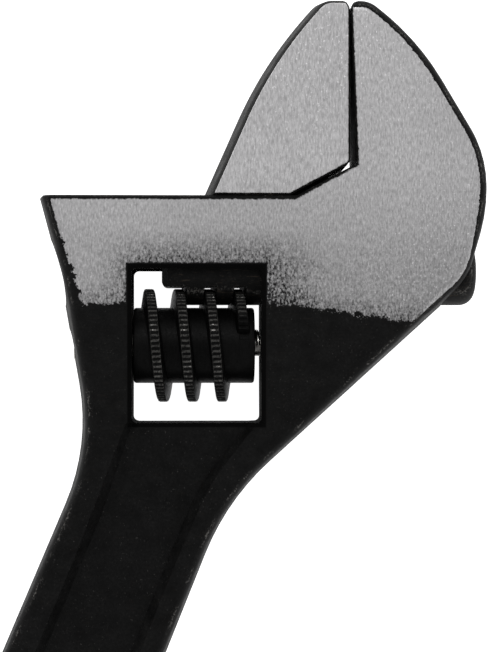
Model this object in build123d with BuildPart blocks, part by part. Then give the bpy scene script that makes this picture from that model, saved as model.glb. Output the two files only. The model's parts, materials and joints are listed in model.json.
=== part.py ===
from build123d import *
from math import atan, cos, pi, radians, sin, tan
import os

# Adjustable wrench of 200 mm nominal length, in millimetres.
# The wrench lies flat. The origin is the corner that the mouth is measured from, where the line of the
# fixed jaw's gripping face meets the slideway, in the middle of the thickness.
# +X is the way the movable jaw closes, +Y runs from the slideway to the jaw tips, +Z is out of the front.

os.makedirs("parts", exist_ok=True)

# Forgings
head_thickness = 12.5
jaw_height = 25.8
untrimmed_height = jaw_height + 0.5  # before the tips are trimmed
forging_draft = 8.0
ground_off = 1.2  # what grinding takes off each side of the forged head
head_edge_radius = 3.4
jaw_edge_radius = 3.0
edge_bevel = 0.25
ground_end = -14.8  # the head keeps its full thickness down to here
neck_end = -47.0  # and has thinned to the handle's thickness here

# Mouth, closed
face_lean = 2.28  # degrees that the fixed jaw's face leans over the slideway
throat_start = -8.06
throat_angle = 28.1
throat_radius = 0.5
tip_radius = 1.6
jaw_tip_radius = 1.8
closed_face = -1.07  # X of the movable jaw's face
slide_gap = 0.06
foot_end = -8.9
foot_corner = (-1.4, 4.07)
face_foot = 4.55
jaw_bevel = 0.3

# Handle
overall_length = 203.0
handle_angle = 22.3
neck_station = 86.2  # stations run along the handle's middle line from the jaw tips
neck_centre = (-33.4, -53.44)
end_width = 22.0
handle_thickness = 8.5
rim_radius = 1.4
web_thickness = 4.8
recess_wall_draft = 30.0
recess_left = 5.2  # half widths of the recess floor, each side of the handle's middle line
recess_right = 6.4
recess_end_gap = 14.0  # from the recess's round end to the hang hole's centre
recess_ramp_end = -42.0  # the recess's floor rises from here to the window
recess_mouth_z = 3.9  # and has this height there
recess_left_top = (-28.0, -28.5)
recess_right_top = (-14.3, -28.5)
recess_right_bend = (-20.3, -36.4)
recess_bend_radius = 25.0
hang_hole_radius = 4.5
hang_hole_chamfer = 0.5

# Window, slot and bore
window_left = -29.55
window_right = -12.6
window_top = -9.5
window_bottom = -29.7
window_corner_radius = 0.7
window_chamfer = 0.5
rod_y = -9.8
rod_radius = 4.4
rod_clearance = 0.08
slot_half_width = 1.8
slot_end = -3.3

# Worm
worm_y = -19.55
worm_left = -29.4
worm_right = -13.45
worm_radius = 7.5
hub_radius = 5.0
hub_chamfer = 0.3
pitch = 3.9
crest_width = 1.25
thread_root_width = 1.75
thread_turns = 3.575
thread_start_angle = -125.0  # about +X, from the top of the worm, which faces the rack
crest_at_top = -19.6  # X of one thread crest at the top of the worm
thread_sink = 0.3  # how far the thread's foot goes into the hub

# Rack rod and web of the movable jaw
rod_left = -25.65
rod_right = 15.9
rod_left_chamfer = 0.8
rod_nose_radius = 0.7  # on the cleared end of the rack
rod_right_radius = 2.0
web_left = -18.4
web_right = -3.6
web_half_width = 1.7
rack_root_y = -11.85
rack_clearance = 0.16
groove_count = 9
groove_depth = 3.0

# Pin and spring
pin_thread_radius = 2.0
pin_radius = 1.4
pin_clearance = 0.04
pin_head_x = -37.25
pin_shoulder_x = -31.0
pin_tip_x = -7.0
pin_tip_chamfer = 0.4
driver_slot_width = 0.8
driver_slot_depth = 1.0
spring_wire_radius = 0.28
spring_radius = 1.85
spring_turns = 5
spring_gap = 0.02  # at each end of the spring
pocket_radius = 2.35
pocket_depth = 5.0

near = 0.01  # the slack in finding an edge by its place
half_head = head_thickness / 2
half_handle = handle_thickness / 2
forged_height = half_head + ground_off
far = 220.0
worm_axis = Axis((0, worm_y, 0), (1, 0, 0))


def handle_point(station, side):
    """The point at a station along the handle, side mm to the left of its middle line."""
    along = station - neck_station
    angle = radians(handle_angle)
    x = neck_centre[0] - along * sin(angle) - side * cos(angle)
    y = neck_centre[1] - along * cos(angle) + side * sin(angle)
    return (x, y)


def face_point(y):
    """The point of the fixed jaw's gripping face at height y."""
    return (-y * tan(radians(face_lean)), y)


def section_across(x):
    """The plane across the rod and the worm at x, seen from the right, with Y as its first direction."""
    return Plane(origin=(x, 0, 0), x_dir=(0, 1, 0), z_dir=(1, 0, 0))


def flat_edges(part, height):
    """The edges of a part that lie flat at a height on its front or at the same height on its back."""
    return [edge for edge in part.edges() if abs(abs(edge.center().Z) - height) < near]


# ---------------------------------------------------------------- handle and fixed jaw
hang_station = overall_length - end_width / 2
left_end = handle_point(hang_station, end_width / 2)
right_end = handle_point(hang_station, -end_width / 2)
heel_side = ((-43.15, 4), (-39.05, -11.2), (-35.2, -32.8), left_end)
underside = (right_end, (-17.05, -40.15), (15.1, -11.0))
jaw_back = ((17.65, -1.75), (17.65, 5.67), (8.43, 21.08), (1.79, untrimmed_height), (-6, untrimmed_height))
mouth_block = ((-6, untrimmed_height), (-6, 4), heel_side[0])

lean_slope = tan(radians(face_lean))
throat_slope = tan(radians(throat_angle))
throat_corner = face_point(-throat_slope * throat_start / (1 + throat_slope * lean_slope))

window_x = (window_left + window_right) / 2
window_y = (window_top + window_bottom) / 2
window_width = window_right - window_left
window_height = window_top - window_bottom

# The recess of the handle, one side. Its walls lean outwards, and its floor rises to the window.
with BuildPart() as recess:
    floor_z = web_thickness / 2
    floor_left_end = handle_point(hang_station - recess_end_gap - recess_left, recess_left)
    floor_right_end = handle_point(hang_station - recess_end_gap - recess_left, -recess_right)
    with BuildSketch(Plane.XY.offset(floor_z)):
        with BuildLine():
            Line(recess_left_top, floor_left_end)
            ThreePointArc(floor_left_end, handle_point(hang_station - recess_end_gap, 0), floor_right_end)
            FilletPolyline(floor_right_end, recess_right_bend, recess_right_top, radius=recess_bend_radius)
            Line(recess_right_top, recess_left_top)
        make_face()
    extrude(amount=half_head - floor_z, taper=-recess_wall_draft)
    with BuildSketch(Plane.YZ):
        with BuildLine():
            ramp = ((window_bottom, recess_mouth_z), (recess_ramp_end, floor_z))
            Polyline((window_bottom, far), *ramp, (-far, floor_z), (-far, far), close=True)
        make_face()
    extrude(amount=far, both=True, mode=Mode.INTERSECT)

with BuildPart() as handle_and_fixed_jaw:
    # One half of the forging, drafted from the parting line, then the other.
    with BuildSketch():
        with BuildLine():
            FilletPolyline(*heel_side, radius=(20, 28))
            ThreePointArc(left_end, handle_point(overall_length, 0), right_end)
            FilletPolyline(*underside, *jaw_back, radius=(33, 9, 20, 15.6, 34, 4))
            Polyline(*mouth_block)
        make_face()
    extrude(amount=-forged_height, taper=forging_draft)
    rim = handle_and_fixed_jaw.edges().group_by(Axis.Z)[0]
    outer_rim = [edge for edge in rim if edge.center().Y < 1 or edge.center().X > -1]
    fillet(outer_rim, radius=head_edge_radius)
    mirror(about=Plane.XY)
    # Both faces of the head are ground flat, and the neck thins down to the handle.
    with BuildSketch(Plane.YZ):
        with BuildLine():
            back = [(jaw_height + 5, -half_head), (ground_end, -half_head), (neck_end, -half_handle)]
            back.append((-far, -half_handle))
            Polyline(*back, *[(y, -z) for y, z in reversed(back)], close=True)
        make_face()
    extrude(amount=far, both=True, mode=Mode.INTERSECT)
    handle_rims = [
        edge for edge in flat_edges(handle_and_fixed_jaw, half_handle) if edge.length > end_width
    ]
    fillet(handle_rims, radius=rim_radius)
    # The machined mouth: slideway, throat, gripping face and rounded tip.
    with BuildSketch(Plane.XY.offset(-half_head)):
        with BuildLine():
            tip = JernArc(face_point(jaw_height - tip_radius), face_point(1), tip_radius, -90)
            around = ((far, jaw_height), (far, far), (-far, far), (-far, 0))
            Polyline(tip @ 1, *around, (throat_start, 0), throat_corner, tip @ 0)
        make_face()
        fillet(vertices().sort_by_distance((*throat_corner, -half_head))[0], radius=throat_radius)
    extrude(amount=head_thickness, mode=Mode.SUBTRACT)
    mouth_edges = [
        edge for edge in flat_edges(handle_and_fixed_jaw, half_head)
        if -near < edge.center().Y < jaw_height - tip_radius and edge.center().X < 0
    ]
    chamfer(mouth_edges, length=edge_bevel)
    # The window for the worm, with a chamfered rim.
    with BuildSketch(Plane.XY.offset(-half_head)):
        with Locations((window_x, window_y)):
            RectangleRounded(window_width, window_height, window_corner_radius)
    extrude(amount=head_thickness, mode=Mode.SUBTRACT)
    window_rims = [
        edge for edge in handle_and_fixed_jaw.edges()
        if abs(edge.center().Z) > half_handle
        and abs(edge.center().X - window_x) < window_width / 2 + near
        and abs(edge.center().Y - window_y) < window_height / 2 + near
    ]
    chamfer(window_rims, length=window_chamfer)
    # The bore for the rack rod and the slot above it for the web.
    with BuildSketch(section_across(-far)):
        with Locations((rod_y, 0)):
            Circle(rod_radius + rod_clearance)
    extrude(amount=2 * far, mode=Mode.SUBTRACT)
    with BuildSketch(section_across(-far)):
        with Locations((rod_y, 0)):
            Rectangle(jaw_height / 2, 2 * slot_half_width, align=(Align.MIN, Align.CENTER))
    extrude(amount=far + slot_end, mode=Mode.SUBTRACT)
    # The tapped hole for the pin's head, and the plain hole that its tip sits in.
    with BuildSketch(section_across(-far)):
        with Locations((worm_y, 0)):
            Circle(pin_thread_radius + pin_clearance)
    extrude(amount=far + pin_shoulder_x + pin_clearance, mode=Mode.SUBTRACT)
    with BuildSketch(section_across(pin_shoulder_x)):
        with Locations((worm_y, 0)):
            Circle(pin_radius + pin_clearance)
    extrude(amount=pin_tip_x - pin_shoulder_x + pin_clearance, mode=Mode.SUBTRACT)
    # The recess on both sides of the handle, and the hang hole.
    add(recess.part, mode=Mode.SUBTRACT)
    add(recess.part.mirror(Plane.XY), mode=Mode.SUBTRACT)
    with BuildSketch(Plane.XY.offset(-half_head)):
        with Locations(handle_point(hang_station, 0)):
            Circle(hang_hole_radius)
    extrude(amount=head_thickness, mode=Mode.SUBTRACT)
    hang_rims = [
        edge for edge in flat_edges(handle_and_fixed_jaw, half_handle)
        if abs(edge.length - 2 * pi * hang_hole_radius) < near
    ]
    chamfer(hang_rims, length=hang_hole_chamfer)

handle_and_fixed_jaw.part.label = "handle_and_fixed_jaw"
export_step(handle_and_fixed_jaw.part, "parts/handle_and_fixed_jaw.step")

# ---------------------------------------------------------------- movable jaw with its web and rack
lead_tilt = atan(pitch / (2 * pi * (worm_radius + hub_radius) / 2))
flank_slope = (thread_root_width - crest_width) / 2 / (worm_radius - hub_radius)
groove_top = crest_width / 2 + rack_clearance
groove_mouth = groove_top + groove_depth * flank_slope

with BuildPart() as movable_jaw:
    with BuildSketch():
        with BuildLine():
            jaw_left = ((-21.3, -2.5), (-12.24, 17.94), (-4.86, untrimmed_height))
            FilletPolyline(*jaw_left, (3, untrimmed_height), radius=(55, 3.3))
            Polyline((3, untrimmed_height), (3, -2.5), jaw_left[0])
        make_face()
    extrude(amount=-forged_height, taper=forging_draft)
    jaw_rim = movable_jaw.edges().group_by(Axis.Z)[0]
    fillet([edge for edge in jaw_rim if edge.center().X < -6 and edge.center().Y > 0], radius=jaw_edge_radius)
    mirror(about=Plane.XY)
    # Ground faces, gripping face, and the foot that slides on the slideway.
    with BuildSketch(Plane.XY.offset(-half_head)):
        with BuildLine():
            jaw_tip = JernArc((closed_face, jaw_height - jaw_tip_radius), (0, 1), jaw_tip_radius, 90)
            Polyline(jaw_tip @ 1, (-far, jaw_height), (-far, slide_gap), (foot_end, slide_gap), foot_corner,
                     (closed_face, face_foot), jaw_tip @ 0)
        make_face()
    extrude(amount=head_thickness, mode=Mode.INTERSECT)
    machined_edges = [
        edge for edge in flat_edges(movable_jaw, half_head)
        if edge.center().X > closed_face - near or 3 * edge.center().Y < edge.center().X + 17
    ]
    chamfer(machined_edges, length=jaw_bevel)
    # The web down through the slot, and the rod.
    with BuildSketch(section_across(web_left)):
        with Locations((rod_y, 0)):
            Rectangle(foot_corner[1] - 1 - rod_y, 2 * web_half_width, align=(Align.MIN, Align.CENTER))
    extrude(amount=web_right - web_left)
    with BuildSketch(section_across(rod_left)):
        with Locations((rod_y, 0)):
            Circle(rod_radius)
    extrude(amount=rod_right - rod_left)
    rod_ends = movable_jaw.edges().filter_by(GeomType.CIRCLE).sort_by(Axis.X)
    chamfer(rod_ends[0], length=rod_left_chamfer)
    rod_ends = movable_jaw.edges().filter_by(GeomType.CIRCLE).sort_by(Axis.X)
    fillet(rod_ends[-1], radius=rod_right_radius)
    # Grooves between the rack's teeth, tilted like the worm's thread, and the cleared end of the rack.
    first_groove = crest_at_top - pitch
    along_thread = (sin(lead_tilt), 0, cos(lead_tilt))
    across_thread = (cos(lead_tilt), 0, -sin(lead_tilt))
    with BuildSketch(Plane(origin=(first_groove, rack_root_y, 0), x_dir=across_thread, z_dir=along_thread)):
        for groove in range(groove_count):
            with Locations((groove * pitch * cos(lead_tilt), 0)):
                Polygon((-groove_top, 0), (groove_top, 0), (groove_mouth, -groove_depth),
                        (-groove_mouth, -groove_depth), align=None)
        Polygon((-groove_depth, 0), (0, 0), (0, -groove_depth), (-groove_depth, -groove_depth), align=None)
    extrude(amount=3 * rod_radius, both=True, mode=Mode.SUBTRACT)
    nose_edges = [
        edge for edge in movable_jaw.edges()
        if abs(edge.center().X - rod_left) < near and abs(edge.center().Y - rack_root_y) < near
    ]
    fillet(nose_edges, radius=rod_nose_radius)

movable_jaw.part.label = "movable_jaw"
export_step(movable_jaw.part, "parts/movable_jaw.step")

# ---------------------------------------------------------------- adjusting worm
thread_start = crest_at_top - 2 * pitch + pitch * thread_start_angle / 360
thread_depth = worm_radius - hub_radius + thread_sink

with BuildPart() as thread:
    with BuildLine():
        crest_line = Helix(pitch, pitch * thread_turns, worm_radius, (thread_start, worm_y, 0), (1, 0, 0))
    with BuildSketch(Plane(origin=crest_line @ 0, x_dir=(1, 0, 0), z_dir=crest_line % 0)):
        root_half = crest_width / 2 + thread_depth * flank_slope
        Polygon((-crest_width / 2, 0), (crest_width / 2, 0), (root_half, -thread_depth),
                (-root_half, -thread_depth), align=None)
    sweep(is_frenet=True)

with BuildPart() as adjusting_worm:
    with BuildSketch(section_across(worm_left)):
        with Locations((worm_y, 0)):
            Circle(hub_radius)
    extrude(amount=worm_right - worm_left)
    chamfer(adjusting_worm.edges().filter_by(GeomType.CIRCLE), length=hub_chamfer)
    # The helix starts at the front of the worm, 90 degrees from its top.
    add(thread.part.rotate(worm_axis, thread_start_angle - 90))
    with BuildSketch(section_across(worm_left)):
        with Locations((worm_y, 0)):
            Circle(worm_radius)
    extrude(amount=worm_right - worm_left, mode=Mode.INTERSECT)
    with BuildSketch(section_across(worm_left)):
        with Locations((worm_y, 0)):
            Circle(pin_radius + pin_clearance)
    extrude(amount=worm_right - worm_left, mode=Mode.SUBTRACT)
    with BuildSketch(section_across(worm_right - pocket_depth)):
        with Locations((worm_y, 0)):
            Circle(pocket_radius)
    extrude(amount=pocket_depth, mode=Mode.SUBTRACT)

adjusting_worm.part.label = "adjusting_worm"
export_step(adjusting_worm.part, "parts/adjusting_worm.step")

# ---------------------------------------------------------------- pin
with BuildPart() as worm_pin:
    with BuildSketch(section_across(pin_head_x)):
        with Locations((worm_y, 0)):
            Circle(pin_thread_radius)
    extrude(amount=pin_shoulder_x - pin_head_x)
    with BuildSketch(section_across(pin_shoulder_x)):
        with Locations((worm_y, 0)):
            Circle(pin_radius)
    extrude(amount=pin_tip_x - pin_shoulder_x)
    chamfer(worm_pin.edges().filter_by(GeomType.CIRCLE).sort_by(Axis.X)[-1], length=pin_tip_chamfer)
    with BuildSketch(section_across(pin_head_x)):
        with Locations((worm_y, 0)):
            Rectangle(driver_slot_width, 3 * pin_thread_radius)
    extrude(amount=driver_slot_depth, mode=Mode.SUBTRACT)

worm_pin.part.label = "worm_pin"
export_step(worm_pin.part, "parts/worm_pin.step")

# ---------------------------------------------------------------- spring
spring_start = worm_right - pocket_depth + spring_wire_radius + spring_gap
spring_length = window_right - spring_wire_radius - spring_gap - spring_start
spring_base = (spring_start, worm_y, 0)

with BuildPart() as worm_spring:
    with BuildLine():
        coil = Helix(spring_length / spring_turns, spring_length, spring_radius, spring_base, (1, 0, 0))
    with BuildSketch(Plane(origin=coil @ 0, z_dir=coil % 0)):
        Circle(spring_wire_radius)
    sweep(is_frenet=True)

worm_spring.part.label = "worm_spring"
export_step(worm_spring.part, "parts/worm_spring.step")
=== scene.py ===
import json
import math
import bmesh
import bpy
from mathutils import Matrix, Vector


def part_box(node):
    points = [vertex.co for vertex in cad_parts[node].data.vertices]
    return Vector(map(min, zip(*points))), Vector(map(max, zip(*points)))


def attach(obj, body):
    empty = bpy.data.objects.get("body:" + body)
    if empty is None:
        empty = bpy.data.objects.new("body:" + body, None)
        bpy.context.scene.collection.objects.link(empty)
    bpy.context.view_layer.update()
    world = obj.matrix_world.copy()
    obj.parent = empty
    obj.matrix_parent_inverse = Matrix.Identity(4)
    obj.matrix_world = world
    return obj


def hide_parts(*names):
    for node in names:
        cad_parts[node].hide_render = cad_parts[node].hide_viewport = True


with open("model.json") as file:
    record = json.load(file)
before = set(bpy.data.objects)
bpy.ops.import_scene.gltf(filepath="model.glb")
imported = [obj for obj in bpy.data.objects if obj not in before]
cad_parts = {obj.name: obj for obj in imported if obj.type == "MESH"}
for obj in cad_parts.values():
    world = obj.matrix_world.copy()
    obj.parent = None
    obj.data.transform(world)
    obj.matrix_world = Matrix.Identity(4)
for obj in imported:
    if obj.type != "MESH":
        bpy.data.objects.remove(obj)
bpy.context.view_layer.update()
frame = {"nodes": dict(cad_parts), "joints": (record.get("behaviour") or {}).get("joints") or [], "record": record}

mm = 0.001
scene = bpy.context.scene
joints = {joint["name"]: joint for joint in frame["joints"]}
record = frame["record"]
print("frame loaded:", ", ".join(sorted(frame["nodes"])))


def toLinear(hexColour):
    # Blender's colours are linear, so an sRGB hex value is turned first
    channels = [int(hexColour[i:i + 2], 16) / 255 for i in (1, 3, 5)]
    return tuple(c / 12.92 if c <= 0.04045 else ((c + 0.055) / 1.055) ** 2.4 for c in channels) + (1.0,)


def addNode(tree, kind, sockets, give=0, **settings):
    # Adds a node, sets or links its sockets, and gives back the output that the next one takes.
    # A Mix node has its factor on socket 0, two numbers on 2 and 3, and two colours on 6 and 7.
    node = tree.nodes.new("ShaderNode" + kind)
    for name, value in settings.items():
        setattr(node, name, value)
    for socket, value in sockets.items():
        if isinstance(value, bpy.types.NodeSocket):
            tree.links.new(value, node.inputs[socket])
        else:
            node.inputs[socket].default_value = value
    return node.outputs[give] if node.outputs else node


def ends(values):
    # A range's start and end and the results there, on the sockets of a Map Range node
    return dict(zip((1, 2, 3, 4), values))


def newMaterial(name, sockets):
    material = bpy.data.materials.new(name)
    material.use_nodes = True
    tree = material.node_tree
    tree.nodes.clear()
    surface = addNode(tree, "BsdfPrincipled", sockets)
    addNode(tree, "OutputMaterial", {"Surface": surface})
    return material, tree, surface.node


def placeInMm(tree):
    # The point of the piece in millimetres, and its X, Y and Z
    place = addNode(tree, "TexCoord", {}, give="Object")
    point = addNode(tree, "VectorMath", {0: place, 1: (1 / mm,) * 3}, operation="MULTIPLY")
    apart = addNode(tree, "SeparateXYZ", {0: point}).node
    return point, apart.outputs[0], apart.outputs[1], apart.outputs[2]


# Half the head's thickness, the worm's corners, axis and radius, in millimetres
halfHead = (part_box("handle_and_fixed_jaw")[1] / mm).z
wormLow, wormHigh = (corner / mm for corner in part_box("adjusting_worm"))
wormAxis = Vector(joints["worm_spin"]["pos_m"]) / mm
wormAxis.x = wormAxis.z = 0
wormRadius = wormHigh.z

# The two forgings, in millimetres, with places taken from the mouth's corner. Four numbers in
# brackets are a range's start and end and the results there. Most noise values lie from 0.3 to 0.7.
forging = {
    "groundColour": "#c6c5c6",
    "pitColour": "#242424",                        # skin left in the pits
    "oxideColour": "#080808",
    "rubbedColour": "#6e6c69",                     # skin rubbed thin on the edges, and dust
    "oilColour": "#373029",
    # painted shade for the window's walls and rim
    "windowShadeColour": "#030303",
    "handleShade": 0.98,
    "jawShade": 1.0,
    "noises": {                                    # size along X, Y and Z, then detail and roughness
        "grain": ((0.2, 0.8, 3.0), 3.0, 0.7),      # grinding marks, twice their real width, so they show
        "speck": ((0.23, 0.368, 0.23), 2.0, 0.6),  # pits left by the belt
        "sparkle": ((0.22, 0.35, 0.22), 1.0, 0.5),
        "chip": ((0.7, 1.1, 0.7), 3.0, 0.7),
        "ragged": ((0.5, 0.5, 0.5), 4.0, 0.75),
        "wander": ((2.6, 2.6, 2.6), 2.0, 0.5),
        "cloud": ((13.0, 17.0, 13.0), 2.0, 0.5),
        "skin": ((0.35, 0.35, 0.35), 3.0, 0.65),   # lumps of the forged skin
        "mottle": ((2.2, 2.2, 2.2), 4.0, 0.6),
        "rub": ((0.22, 0.3, 0.3), 3.0, 0.7),
        "smear": ((1.8, 0.3, 0.6), 3.0, 0.7),      # oil wiped along the rod
    },
    "noiseStep": 7.3,                              # how far apart the noises are taken
    "jawNoiseStep": 31.7,
    "throatStart": -8.06,                          # X where the slideway turns up into the throat
    "throatAngle": 28.1,                           # degrees
    "throatGap": 0.45,                             # between the closed jaw and the throat
    "throatEdge": 0.15,                            # skin left along the throat
    "slidewayEdge": 0.32,
    "closedFace": -1.07,                           # X of the movable jaw's gripping face
    "faceLean": 2.28,                              # degrees that the fixed gripping face leans
    "windowSize": (17.95, 21.2),                   # rim chamfer included
    "windowMiddle": (-21.08, -19.6),
    "windowShade": (0.0, 0.2, 1.0, 0.0),           # painted shade on the window's walls and rim, over the distance outside the window
    "heelStart": -40.55,                           # X of the ground face's left limit at the slideway
    "heelLean": 0.3,                               # X that the limit gains for each mm down
    "heelChips": (0.48, 0.62, 0.0, 0.65),
    "lowHeelChips": (-7.0, -5.0, 1.0, 0.15),       # over Y
    "edgeGap": 0.22,                               # skin left beside every machined edge
    "edgeBlend": (-0.05, 0.1, 0.0, 1.0),
    "raggedness": 0.6,                             # how far the edges wander
    "groundLimit": -14.5,                          # Y at which the grinding wheel ran out
    "limitFall": (-14.0, 8.0, 0.4, -1.6),          # over X
    "limitSwing": 1.6,
    "limitRaggedness": 2.16,
    "groundDepth": (-8.0, -3.0, 0.3, 0.06),        # over Y, how deep a rounding still counts as ground
    "depthRaggedness": 0.12,
    "lowPits": (-16.0, 3.0, 0.25, 0.0),            # over Y
    "limitPits": (0.0, 2.6, 0.23, 0.0),            # over the distance above the limit
    "windowPits": (-9.2, -4.4, 0.48, 0.0),         # over Y
    "windowPitsLeft": (-34.0, -28.0, 0.0, 1.0),    # over X
    "windowPitsRight": (-12.0, -4.0, 1.0, 0.1),    # over X
    "pitContrast": (0.3, 0.7, 0.15, 2.0),
    "streakContrast": (0.3, 0.7, 0.74, 1.24),
    "cloudContrast": (0.3, 0.7, 0.95, 1.05),
    "sparkleContrast": (0.64, 0.76, 0.0, 0.4),
    "tipSparkle": (6.0, 24.0, 0.8, 2.0),           # over Y
    "cornerSparkle": (6.0, 20.0, 0.8, 2.4),        # over X less Y
    "mottleContrast": (0.3, 0.7, 0.6, 2.6),
    "skinContrast": (0.3, 0.7, 0.5, 1.5),
    "dustContrast": (0.72, 0.8, 0.0, 0.22),
    "jawOil": (0.58, 0.72, 0.0, 0.8),
    "handleOil": (0.58, 0.72, 0.0, 0.1),
    "edgeTurn": 0.8,                               # how far a rubbed edge still looks along Z
    "edgeTurnBlend": (0.0, 0.16, 0.2, 0.0),
    "rubContrast": (0.64, 0.8, 0.0, 0.6),
    "handledContrast": (0.46, 0.58, 0.0, 1.0),     # stretches that hands have rubbed
    "skinRoughness": (0.3, 0.7, 0.55, 0.75),
    "groundRoughness": (0.3, 0.7, 0.38, 0.52),
    "specularLevel": 0.1,
    "reliefStrength": 0.4,
    "reliefDepth": 0.03,
}


def makeForgedSteel(name, movable, shade):
    # Drop-forged chrome vanadium steel, black phosphated and then belt ground on its flat faces: satin
    # grey with short streaks along Y and dark pits low on the head, against near-black matt skin
    material, tree, shader = newMaterial(name, {"Specular IOR Level": forging["specularLevel"]})
    point, x, y, z = placeInMm(tree)
    noises = {}
    for noise, (size, detail, rough) in forging["noises"].items():
        start = forging["noiseStep"] * len(noises) + forging["jawNoiseStep"] * movable
        stretched = addNode(tree, "Mapping", {"Vector": point, "Location": (start, start + 1, start + 2),
                                              "Scale": tuple(1 / s for s in size)})
        noises[noise] = addNode(tree, "TexNoise", {"Vector": stretched, "Scale": 1.0, "Detail": detail,
                                                   "Roughness": rough})

    # How far a point lies inside the ground outline, by the mouth, the window and the heel
    throat = math.radians(forging["throatAngle"])
    across = addNode(tree, "VectorMath", {0: point, 1: (math.sin(throat), -math.cos(throat), 0)},
                     give="Value", operation="DOT_PRODUCT")
    across = addNode(tree, "Math", {0: across, 1: -forging["throatStart"] * math.sin(throat)},
                     operation="ADD")
    if movable:
        toFace = addNode(tree, "Math", {0: forging["closedFace"], 1: x}, operation="SUBTRACT")
        toThroat = addNode(tree, "Math", {0: -forging["throatGap"], 1: across}, operation="SUBTRACT")
        inside = addNode(tree, "Math", {0: toFace, 1: toThroat}, operation="MINIMUM")
        inside = addNode(tree, "Math", {0: inside, 1: y}, operation="MINIMUM")
    else:
        lean = math.tan(math.radians(forging["faceLean"]))
        toFace = addNode(tree, "Math", {0: y, 1: lean, 2: x}, operation="MULTIPLY_ADD")
        across = addNode(tree, "Math", {0: across, 1: forging["throatEdge"]}, operation="SUBTRACT")
        below = addNode(tree, "Math", {0: -forging["slidewayEdge"], 1: y}, operation="SUBTRACT")
        inside = addNode(tree, "Math", {0: toFace, 1: across}, operation="MAXIMUM")
        inside = addNode(tree, "Math", {0: inside, 1: below}, operation="MAXIMUM")
        fromWindow = []
        for coordinate, middle, size in zip((x, y), forging["windowMiddle"], forging["windowSize"]):
            away = addNode(tree, "Math", {0: coordinate, 1: middle}, operation="SUBTRACT")
            away = addNode(tree, "Math", {0: away}, operation="ABSOLUTE")
            fromWindow.append(addNode(tree, "Math", {0: away, 1: size / 2}, operation="SUBTRACT"))
        outside = addNode(tree, "Math", {0: fromWindow[0], 1: fromWindow[1]}, operation="MAXIMUM")
        inside = addNode(tree, "Math", {0: inside, 1: outside}, operation="MINIMUM")
        # Painted shade: full on the window's walls, fading out just outside the rim
        windowShadeMask = addNode(tree, "MapRange", {0: outside, **ends(forging["windowShade"])})
        fromHeel = addNode(tree, "Math", {0: y, 1: forging["heelLean"], 2: x}, operation="MULTIPLY_ADD")
        fromHeel = addNode(tree, "Math", {0: fromHeel, 1: forging["heelStart"]}, operation="SUBTRACT")
        chips = addNode(tree, "MapRange", {0: noises["chip"], **ends(forging["heelChips"])})
        lowChips = addNode(tree, "MapRange", {0: y, **ends(forging["lowHeelChips"])})
        chips = addNode(tree, "Math", {0: chips, 1: lowChips}, operation="MULTIPLY")
        fromHeel = addNode(tree, "Math", {0: fromHeel, 1: chips}, operation="SUBTRACT")
        inside = addNode(tree, "Math", {0: inside, 1: fromHeel}, operation="MINIMUM")
    inside = addNode(tree, "Math", {0: inside, 1: forging["edgeGap"]}, operation="SUBTRACT")
    ragged = addNode(tree, "Math", {0: noises["ragged"], 1: 0.5}, operation="SUBTRACT")
    inside = addNode(tree, "Math", {0: ragged, 1: forging["raggedness"], 2: inside},
                     operation="MULTIPLY_ADD")

    # How far it lies above the line on which the wheel ran out
    limit = addNode(tree, "MapRange", {0: x, **ends(forging["limitFall"])},
                    interpolation_type="SMOOTHSTEP")
    above = addNode(tree, "Math", {0: y, 1: limit}, operation="SUBTRACT")
    above = addNode(tree, "Math", {0: above, 1: forging["groundLimit"]}, operation="SUBTRACT")
    swing = addNode(tree, "Math", {0: noises["wander"], 1: forging["limitSwing"],
                                   2: -forging["limitSwing"] / 2}, operation="MULTIPLY_ADD")
    above = addNode(tree, "Math", {0: above, 1: swing}, operation="ADD")
    raggedAbove = addNode(tree, "Math", {0: ragged, 1: forging["limitRaggedness"], 2: above},
                          operation="MULTIPLY_ADD")
    kept = addNode(tree, "Math", {0: inside, 1: raggedAbove}, operation="MINIMUM")
    kept = addNode(tree, "MapRange", {0: kept, **ends(forging["edgeBlend"])})

    # Only the flats are ground, and low on the head a little of the rounding beside them
    height = addNode(tree, "Math", {0: z}, operation="ABSOLUTE")
    height = addNode(tree, "Math", {0: ragged, 1: forging["depthRaggedness"], 2: height},
                     operation="MULTIPLY_ADD")
    depth = addNode(tree, "MapRange", {0: y, **ends(forging["groundDepth"])})
    depth = addNode(tree, "Math", {0: halfHead, 1: depth}, operation="SUBTRACT")
    flat = addNode(tree, "Math", {0: height, 1: depth}, operation="GREATER_THAN")
    ground = addNode(tree, "Math", {0: kept, 1: flat}, operation="MULTIPLY")

    # Pits that kept their skin: few on the jaws, many above the window and towards the lower limit
    pitted = addNode(tree, "MapRange", {0: y, **ends(forging["lowPits"])})
    nearLimit = addNode(tree, "MapRange", {0: above, **ends(forging["limitPits"])})
    overWindow = addNode(tree, "MapRange", {0: y, **ends(forging["windowPits"])})
    for side in ("windowPitsLeft", "windowPitsRight"):
        share = addNode(tree, "MapRange", {0: x, **ends(forging[side])})
        overWindow = addNode(tree, "Math", {0: overWindow, 1: share}, operation="MULTIPLY")
    for more in (nearLimit, overWindow):
        pitted = addNode(tree, "Math", {0: pitted, 1: more}, operation="ADD")
    speckled = addNode(tree, "MapRange", {0: noises["speck"], **ends(forging["pitContrast"])})
    pits = addNode(tree, "Math", {0: pitted, 1: speckled}, operation="MULTIPLY", use_clamp=True)

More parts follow.
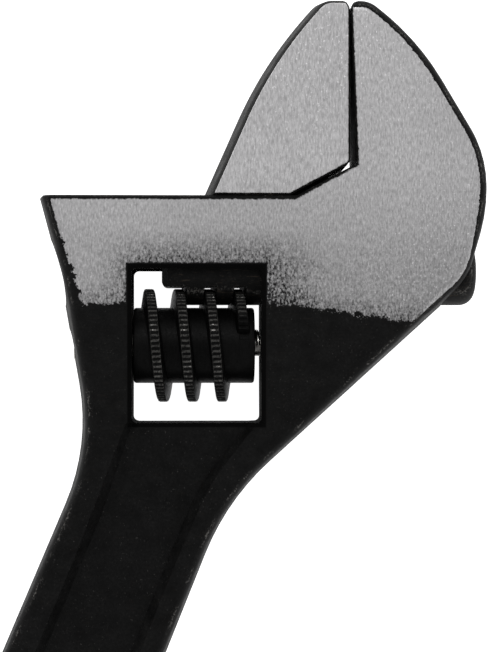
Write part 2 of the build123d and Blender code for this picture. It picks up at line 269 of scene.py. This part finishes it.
    # Brightness of the bare steel: streaks, slow clouds, and sparkles towards tip and lower corner
    streaks = addNode(tree, "MapRange", {0: noises["grain"], **ends(forging["streakContrast"])})
    clouds = addNode(tree, "MapRange", {0: noises["cloud"], **ends(forging["cloudContrast"])})
    sparkles = addNode(tree, "MapRange", {0: noises["sparkle"], **ends(forging["sparkleContrast"])})
    towardsTip = addNode(tree, "MapRange", {0: y, **ends(forging["tipSparkle"])})
    towardsCorner = addNode(tree, "Math", {0: x, 1: y}, operation="SUBTRACT")
    towardsCorner = addNode(tree, "MapRange", {0: towardsCorner, **ends(forging["cornerSparkle"])})
    sparkling = addNode(tree, "Math", {0: towardsTip, 1: towardsCorner}, operation="MAXIMUM")
    sparkles = addNode(tree, "Math", {0: sparkles, 1: sparkling}, operation="MULTIPLY")
    brightness = addNode(tree, "Math", {0: streaks, 1: sparkles}, operation="ADD")
    for factor in (clouds, shade):
        brightness = addNode(tree, "Math", {0: brightness, 1: factor}, operation="MULTIPLY")
    bare = addNode(tree, "VectorMath", {0: toLinear(forging["groundColour"])[:3], "Scale": brightness},
                   operation="SCALE")
    bare = addNode(tree, "Mix", {0: pits, 6: bare, 7: toLinear(forging["pitColour"])}, give=2,
                   data_type="RGBA")

    # The black skin: mottled, dusty and oily, and rubbed thin where flats turn into edges
    mottled = addNode(tree, "MapRange", {0: noises["mottle"], **ends(forging["mottleContrast"])})
    lumpy = addNode(tree, "MapRange", {0: noises["skin"], **ends(forging["skinContrast"])})
    mottled = addNode(tree, "Math", {0: mottled, 1: lumpy}, operation="MULTIPLY")
    skin = addNode(tree, "VectorMath", {0: toLinear(forging["oxideColour"])[:3], "Scale": mottled},
                   operation="SCALE")
    dust = addNode(tree, "MapRange", {0: noises["sparkle"], **ends(forging["dustContrast"])})
    oilContrast = forging["jawOil"] if movable else forging["handleOil"]
    oil = addNode(tree, "MapRange", {0: noises["smear"], **ends(oilContrast)})
    facing = addNode(tree, "SeparateXYZ", {0: addNode(tree, "TexCoord", {}, give="Normal")}, give=2)
    facing = addNode(tree, "Math", {0: facing}, operation="ABSOLUTE")
    turning = addNode(tree, "Math", {0: facing, 1: forging["edgeTurn"]}, operation="SUBTRACT")
    turning = addNode(tree, "Math", {0: turning}, operation="ABSOLUTE")
    turning = addNode(tree, "MapRange", {0: turning, **ends(forging["edgeTurnBlend"])})
    rubbed = addNode(tree, "Math", {0: turning, 1: noises["rub"]}, operation="ADD")
    rubbed = addNode(tree, "MapRange", {0: rubbed, **ends(forging["rubContrast"])})
    handled = addNode(tree, "MapRange", {0: noises["wander"], **ends(forging["handledContrast"])})
    rubbed = addNode(tree, "Math", {0: rubbed, 1: handled}, operation="MULTIPLY")
    layers = [(dust, "rubbedColour"), (oil, "oilColour"), (rubbed, "rubbedColour")]
    skinRoughness = addNode(tree, "MapRange", {0: noises["mottle"], **ends(forging["skinRoughness"])})
    if not movable:
        # Painted shade darkens the walls and the rim of the window, and the same mask makes them rougher
        layers.append((windowShadeMask, "windowShadeColour"))
        skinRoughness = addNode(tree, "Math", {0: skinRoughness, 1: windowShadeMask}, operation="MAXIMUM")
    for share, layer in layers:
        skin = addNode(tree, "Mix", {0: share, 6: skin, 7: toLinear(forging[layer])}, give=2,
                       data_type="RGBA")
    colour = addNode(tree, "Mix", {0: ground, 6: skin, 7: bare}, give=2, data_type="RGBA")

    # Relief: the forged skin is finely lumpy, and the ground faces are scratched
    relief = addNode(tree, "Mix", {0: ground, 2: noises["skin"], 3: noises["grain"]}, data_type="FLOAT")
    bump = addNode(tree, "Bump", {"Height": relief, "Strength": forging["reliefStrength"],
                                  "Distance": forging["reliefDepth"] * mm})
    groundRoughness = addNode(tree, "MapRange", {0: noises["grain"], **ends(forging["groundRoughness"])})
    roughness = addNode(tree, "Mix", {0: ground, 2: skinRoughness, 3: groundRoughness},
                        data_type="FLOAT")
    for socket, value in (("Base Color", colour), ("Metallic", ground), ("Roughness", roughness),
                          ("Normal", bump)):
        tree.links.new(value, shader.inputs[socket])
    return material


for node, name, movable, shade in (
    ("handle_and_fixed_jaw", "groundForgedSteel", False, forging["handleShade"]),
    ("movable_jaw", "groundJawSteel", True, forging["jawShade"]),
):
    frame["nodes"][node].material_slots[0].material = makeForgedSteel(name, movable, shade)
print("forgings finished")

# The turned parts: worm, pin and spring, in millimetres
smallParts = {
    "wormColour": "#060606",
    "wornColour": "#535250",                 # tops of the knurls
    "pinColour": "#8b8986",
    "springColour": "#c9c7c2",
    "wormRoughness": 0.5,
    "wornRoughness": 0.24,
    "pinRoughness": 0.35,
    "springRoughness": 0.22,
    "roughnessSpread": 0.25,                 # share of the roughness
    "wormSpecularLevel": 0.08,
    "turningMarks": 0.22,                    # between the marks of the lathe, wider than real so they show
    "markDepth": 0.12,                       # of the marks, beside the smears
    "smearSize": (1 / 6, 10 / 9, 10 / 9),
    "smearContrast": (0.35, 0.65, 0.35, 1.9),
    "spotSize": 2 / 9,
    "spotSpan": (0.3, 0.7),                  # where most of the spots' values lie
    "wearDepth": 0.12,                       # how far under the crests the wear starts
    "wearBlend": 0.1,
    "wearContrast": (0.4, 0.6, 0.1, 1.0),
    "reliefStrength": 0.3,
    "reliefDepth": 0.03,
}


def makeTurnedSteel(name, colour, roughness, sockets, wornFrom=None):
    # Steel turned on a lathe: fine rings round X, and on the worm crests rubbed to a gloss
    material, tree, shader = newMaterial(name, sockets)
    point, x = placeInMm(tree)[:2]
    rings = addNode(tree, "Math", {0: x, 1: 2 * math.pi / smallParts["turningMarks"]},
                    operation="MULTIPLY")
    rings = addNode(tree, "Math", {0: rings}, operation="SINE")
    smears = addNode(tree, "Mapping", {"Vector": point,
                                       "Scale": tuple(1 / size for size in smallParts["smearSize"])})
    smears = addNode(tree, "TexNoise", {"Vector": smears, "Scale": 1.0, "Detail": 4.0,
                                        "Roughness": 0.65})
    spots = addNode(tree, "TexNoise", {"Vector": point, "Scale": 1 / smallParts["spotSize"],
                                       "Detail": 2.0, "Roughness": 0.6})
    tone = addNode(tree, "MapRange", {0: smears, **ends(smallParts["smearContrast"])})
    base = addNode(tree, "VectorMath", {0: toLinear(colour)[:3], "Scale": tone}, operation="SCALE")
    spread = smallParts["roughnessSpread"] * roughness
    rough = addNode(tree, "MapRange", {0: spots, **ends((*smallParts["spotSpan"], roughness - spread,
                                                         roughness + spread))})
    if wornFrom:
        fromAxis = addNode(tree, "VectorMath", {0: point, 1: wormAxis}, operation="SUBTRACT")
        fromAxis = addNode(tree, "VectorMath", {0: fromAxis, 1: (0, 1, 1)}, operation="MULTIPLY")
        radius = addNode(tree, "VectorMath", {0: fromAxis}, give="Value", operation="LENGTH")
        worn = addNode(tree, "MapRange", {0: radius, 1: wornFrom, 2: wornFrom + smallParts["wearBlend"]})
        patches = addNode(tree, "MapRange", {0: spots, **ends(smallParts["wearContrast"])})
        worn = addNode(tree, "Math", {0: worn, 1: patches}, operation="MULTIPLY")
        base = addNode(tree, "Mix", {0: worn, 6: base, 7: toLinear(smallParts["wornColour"])}, give=2,
                       data_type="RGBA")
        rough = addNode(tree, "Mix", {0: worn, 2: rough, 3: smallParts["wornRoughness"]},
                        data_type="FLOAT")
        tree.links.new(worn, shader.inputs["Metallic"])
    relief = addNode(tree, "Math", {0: rings, 1: smallParts["markDepth"], 2: smears},
                     operation="MULTIPLY_ADD")
    bump = addNode(tree, "Bump", {"Height": relief, "Strength": smallParts["reliefStrength"],
                                  "Distance": smallParts["reliefDepth"] * mm})
    for socket, value in (("Base Color", base), ("Roughness", rough), ("Normal", bump)):
        tree.links.new(value, shader.inputs[socket])
    return material


# Phosphated steel, knurled and oiled: near black and dull, with crests rubbed to a dark gloss
wormSteel = makeTurnedSteel("phosphatedKnurledSteel", smallParts["wormColour"],
                            smallParts["wormRoughness"],
                            {"Specular IOR Level": smallParts["wormSpecularLevel"]},
                            wornFrom=wormRadius - smallParts["wearDepth"])
# Turned steel under oil, grey with soft highlights, and drawn spring wire, bright with sharp ones
for node, name, colour, roughness in (
    ("worm_pin", "oiledTurnedSteel", smallParts["pinColour"], smallParts["pinRoughness"]),
    ("worm_spring", "drawnSpringWire", smallParts["springColour"], smallParts["springRoughness"]),
):
    steel = makeTurnedSteel(name, colour, roughness, {"Metallic": 1.0})
    frame["nodes"][node].material_slots[0].material = steel
print("small parts finished")

# The worm, in millimetres: a bored hub and its thread, with a straight knurl across the crests
worm = {
    "hubRadius": 5.0,
    "hubChamfer": 0.3,
    "hubSides": 128,
    "boreRadius": 1.44,
    "pocketRadius": 2.35,        # the spring sits in it, at the right end
    "pocketDepth": 5.0,
    "crestWidth": 1.25,
    "footWidth": 1.87,
    "footSink": 0.3,             # how far the thread's foot goes into the hub
    "crestRounding": 0.22,
    "threadStart": 0.646,        # from the worm's left end
    "threadTurns": 3.575,
    "startAngle": -125,          # degrees about X, from the top of the worm
    "knurlsPerTurn": 67,
    "stepsPerKnurl": 4,          # the second half of them is pressed in
    "knurlDepth": 0.2,
    "knurlReach": 0.05,          # under the crest, how far the knurl still presses
    "runOutKnurls": 5,           # knurls over which the thread's right end runs out
    "runOutShare": 0.8,          # of the thread's height, lost at the very end
    "smoothAngle": 32,           # degrees
}
pitch = 2 * math.pi / record["behaviour"]["couplings"][0]["ratio"] / mm
squareOn = 0.99                  # how nearly a flat end's normal lies along X


def pick(piece, mode, test):
    # Selects, in edit mode, the vertices, edges or faces that pass a test
    bpy.ops.mesh.select_mode(type=mode)
    bpy.ops.mesh.select_all(action="DESELECT")
    mesh = bmesh.from_edit_mesh(piece.data)
    for element in {"VERT": mesh.verts, "EDGE": mesh.edges, "FACE": mesh.faces}[mode]:
        if test(element):
            element.select_set(True)
    mesh.select_flush_mode()
    bmesh.update_edit_mesh(piece.data)


def startPiece(name, addPrimitive, **settings):
    bpy.ops.object.select_all(action="DESELECT")
    addPrimitive(**settings)
    piece = bpy.context.object
    piece.name = piece.data.name = name
    return piece


def placeInMesh(piece):
    bpy.ops.object.select_all(action="DESELECT")
    piece.select_set(True)
    bpy.context.view_layer.objects.active = piece
    bpy.ops.object.transform_apply(location=True, rotation=True, scale=True)


def makeHub():
    length = wormHigh.x - wormLow.x
    middle = Vector(((wormHigh.x + wormLow.x) / 2, wormAxis.y, 0))
    hub = startPiece("knurledWorm", bpy.ops.mesh.primitive_cylinder_add, vertices=worm["hubSides"],
                     radius=worm["hubRadius"] * mm, depth=length * mm, location=middle * mm,
                     rotation=(0, math.pi / 2, 0))
    placeInMesh(hub)
    bpy.ops.object.mode_set(mode="EDIT")
    pick(hub, "EDGE", lambda edge: len({round(v.co.x / mm, 3) for v in edge.verts}) == 1)
    bpy.ops.mesh.bevel(offset=worm["hubChamfer"] * mm, segments=2, affect="EDGES")
    faceRadius = worm["hubRadius"] - worm["hubChamfer"]
    # The pocket in the right end, then the bore from both ends
    pick(hub, "FACE", lambda face: face.normal.x > squareOn)
    bpy.ops.mesh.inset(thickness=(faceRadius - worm["pocketRadius"]) * mm)
    bpy.ops.mesh.extrude_region_move(TRANSFORM_OT_translate={"value": (-worm["pocketDepth"] * mm, 0, 0)})
    bpy.ops.mesh.inset(thickness=(worm["pocketRadius"] - worm["boreRadius"]) * mm)
    pick(hub, "FACE", lambda face: face.normal.x < -squareOn)
    bpy.ops.mesh.inset(thickness=(faceRadius - worm["boreRadius"]) * mm)
    pick(hub, "FACE", lambda face: len(face.verts) == worm["hubSides"])
    bpy.ops.mesh.bridge_edge_loops()
    bpy.ops.object.mode_set(mode="OBJECT")
    return hub


def makeThread():
    stepsPerTurn = worm["knurlsPerTurn"] * worm["stepsPerKnurl"]
    steps = round(worm["threadTurns"] * stepsPerTurn)
    footRadius = worm["hubRadius"] - worm["footSink"]
    depth = wormRadius - footRadius
    axisPoint = wormAxis * mm
    thread = startPiece("thread", bpy.ops.mesh.primitive_plane_add, size=mm, location=axisPoint)
    bpy.ops.object.mode_set(mode="EDIT")
    bpy.ops.transform.resize(value=(worm["crestWidth"], depth, 1), center_override=axisPoint)
    start = wormLow.x + worm["threadStart"]
    bpy.ops.transform.translate(value=Vector((start, footRadius + depth / 2, 0)) * mm)
    # The foot is wider than the crest, and the crest's corners are rounded
    section = Vector((start, wormAxis.y, 0)) * mm
    pick(thread, "VERT", lambda v: v.co.y < (footRadius + depth / 2) * mm)
    bpy.ops.transform.resize(value=(worm["footWidth"] / worm["crestWidth"], 1, 1),
                             center_override=section)
    pick(thread, "VERT", lambda v: v.co.y > (footRadius + depth / 2) * mm)
    bpy.ops.mesh.bevel(offset=worm["crestRounding"] * mm, segments=2, affect="VERTICES")
    bpy.ops.object.mode_set(mode="OBJECT")
    angleEnd = 2 * math.pi * steps / stepsPerTurn
    winding = thread.modifiers.new("winding", "SCREW")
    winding.axis = "X"
    winding.angle = angleEnd
    winding.screw_offset = pitch * mm * steps / stepsPerTurn
    winding.steps = winding.render_steps = steps
    bpy.ops.object.modifier_apply(modifier=winding.name)

    # The knurl: half of each knurl's steps are pressed in, only across the crest
    def isPressed(v):
        step = round(math.atan2(v.co.z, v.co.y) / (2 * math.pi) * stepsPerTurn)
        onCrest = math.hypot(v.co.y, v.co.z) > (wormRadius - worm["knurlReach"]) * mm
        return onCrest and step % worm["stepsPerKnurl"] >= worm["stepsPerKnurl"] / 2

    bpy.ops.object.mode_set(mode="EDIT")
    bpy.ops.mesh.select_mode(type="EDGE")
    bpy.ops.mesh.select_all(action="DESELECT")
    bpy.ops.mesh.select_non_manifold()
    bpy.ops.mesh.fill()
    pressed = (wormRadius - worm["knurlDepth"]) / wormRadius
    pick(thread, "VERT", isPressed)
    bpy.ops.transform.resize(value=(1, pressed, pressed), center_override=axisPoint)
    # The right end runs out into the hub
    lastX = start + pitch * steps / stepsPerTurn
    for knurl in range(worm["runOutKnurls"]):
        share = (knurl + 1) / worm["runOutKnurls"]
        reach = pitch * (worm["runOutKnurls"] - knurl) / worm["knurlsPerTurn"]
        lowest = footRadius + depth * (1 - share ** 2 * worm["runOutShare"])

        def nearEnd(v):
            turned = math.atan2(v.co.z, v.co.y)
            back = (angleEnd - turned) % (2 * math.pi) / (2 * math.pi) * pitch
            tooHigh = math.hypot(v.co.y, v.co.z) > lowest * mm
            return v.co.x > (lastX - pitch / 2) * mm and back < reach and tooHigh

        pick(thread, "VERT", nearEnd)
        bpy.ops.transform.resize(value=(1, lowest / wormRadius, lowest / wormRadius),
                                 center_override=axisPoint)
    bpy.ops.object.mode_set(mode="OBJECT")
    thread.rotation_euler.x = math.radians(worm["startAngle"])
    placeInMesh(thread)
    # The left end is cut off flush with the hub
    bpy.ops.object.mode_set(mode="EDIT")
    bpy.ops.mesh.select_all(action="SELECT")
    bpy.ops.mesh.normals_make_consistent(inside=False)
    bpy.ops.mesh.bisect(plane_co=wormLow * mm, plane_no=(1, 0, 0), use_fill=True, clear_inner=True,
                        threshold=0.001 * mm)
    bpy.ops.object.mode_set(mode="OBJECT")
    return thread


thread = makeThread()
hub = makeHub()
union = hub.modifiers.new("union", "BOOLEAN")
union.operation = "UNION"
union.solver = "EXACT"
union.object = thread
bpy.ops.object.modifier_apply(modifier=union.name)
bpy.data.objects.remove(thread)
bpy.ops.object.shade_smooth_by_angle(angle=math.radians(worm["smoothAngle"]))
hub.data.materials.clear()
hub.data.materials.append(wormSteel)
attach(hub, "worm")
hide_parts("adjusting_worm")
print("worm finished,", len(hub.data.polygons), "faces")

# The stage: pale light table, soft studio light and camera
stage = {
    "floorDrop": 0.2,                     # mm that the floor lies under the worm
    "floorSize": 3000,                    # mm
    "floorColour": "#f2f2f2",
    "floorRoughness": 0.8,
    "floorGlow": 1.0,
    "sky": (0.1, 0.95, 1.0, 0.48),        # over the rise of a direction: bright low, dimmer overhead
    "softboxPlace": (-0.12, 0.42, 0.62),  # m
    "softboxSize": 0.22,                  # m
    "softboxPower": 1.1,                  # W
    "cameraHeight": 250,                  # mm over the front face
    "cameraOver": (-21.95, -19.5),        # mm
    "cameraAim": (-14.81, -17.03),        # mm
    "lens": 106.3,
    "clip": (0.01, 10),                   # m
}
bpy.ops.object.select_all(action="DESELECT")
floorZ = (wormLow.z - stage["floorDrop"]) * mm
bpy.ops.mesh.primitive_plane_add(size=stage["floorSize"] * mm, location=(0, 0, floorZ))
floor = bpy.context.object
floor.name = "lightTable"
# Opal acrylic sheet lit from below, which shows as even white
opalAcrylic = newMaterial("opalAcrylic", {
    "Base Color": toLinear(stage["floorColour"]), "Roughness": stage["floorRoughness"],
    "Emission Color": toLinear("#ffffff"), "Emission Strength": stage["floorGlow"]})[0]
floor.data.materials.append(opalAcrylic)

world = bpy.data.worlds.new("softStudio")
scene.world = world
world.use_nodes = True
tree = world.node_tree
tree.nodes.clear()
direction = addNode(tree, "TexCoord", {}, give="Generated")
rise = addNode(tree, "SeparateXYZ", {0: direction}, give=2)
level = addNode(tree, "MapRange", {0: rise, **ends(stage["sky"])})
background = addNode(tree, "Background", {"Color": (1.0, 1.0, 1.0, 1.0), "Strength": level})
addNode(tree, "OutputWorld", {"Surface": background})

# One softbox beyond the jaws, which makes the knurl glint
softboxData = bpy.data.lights.new("softbox", "AREA")
softboxData.shape = "SQUARE"
softboxData.size = stage["softboxSize"]
softboxData.energy = stage["softboxPower"]
softbox = bpy.data.objects.new("softbox", softboxData)
scene.collection.objects.link(softbox)
softbox.location = stage["softboxPlace"]
softbox.rotation_euler = softbox.location.to_track_quat("Z", "Y").to_euler()

cameraData = bpy.data.cameras.new("camera")
cameraData.lens = stage["lens"]
cameraData.clip_start, cameraData.clip_end = stage["clip"]
camera = bpy.data.objects.new("camera", cameraData)
scene.collection.objects.link(camera)
scene.camera = camera
cameraPlace = Vector((*stage["cameraOver"], halfHead + stage["cameraHeight"])) * mm
cameraTarget = Vector((*stage["cameraAim"], halfHead)) * mm
backward = (cameraPlace - cameraTarget).normalized()
right = Vector((0, 1, 0)).cross(backward).normalized()
up = backward.cross(right)
camera.matrix_world = Matrix.Translation(cameraPlace) @ Matrix((right, up, backward)).transposed().to_4x4()
scene.view_settings.view_transform = "Standard"
print("stage set")
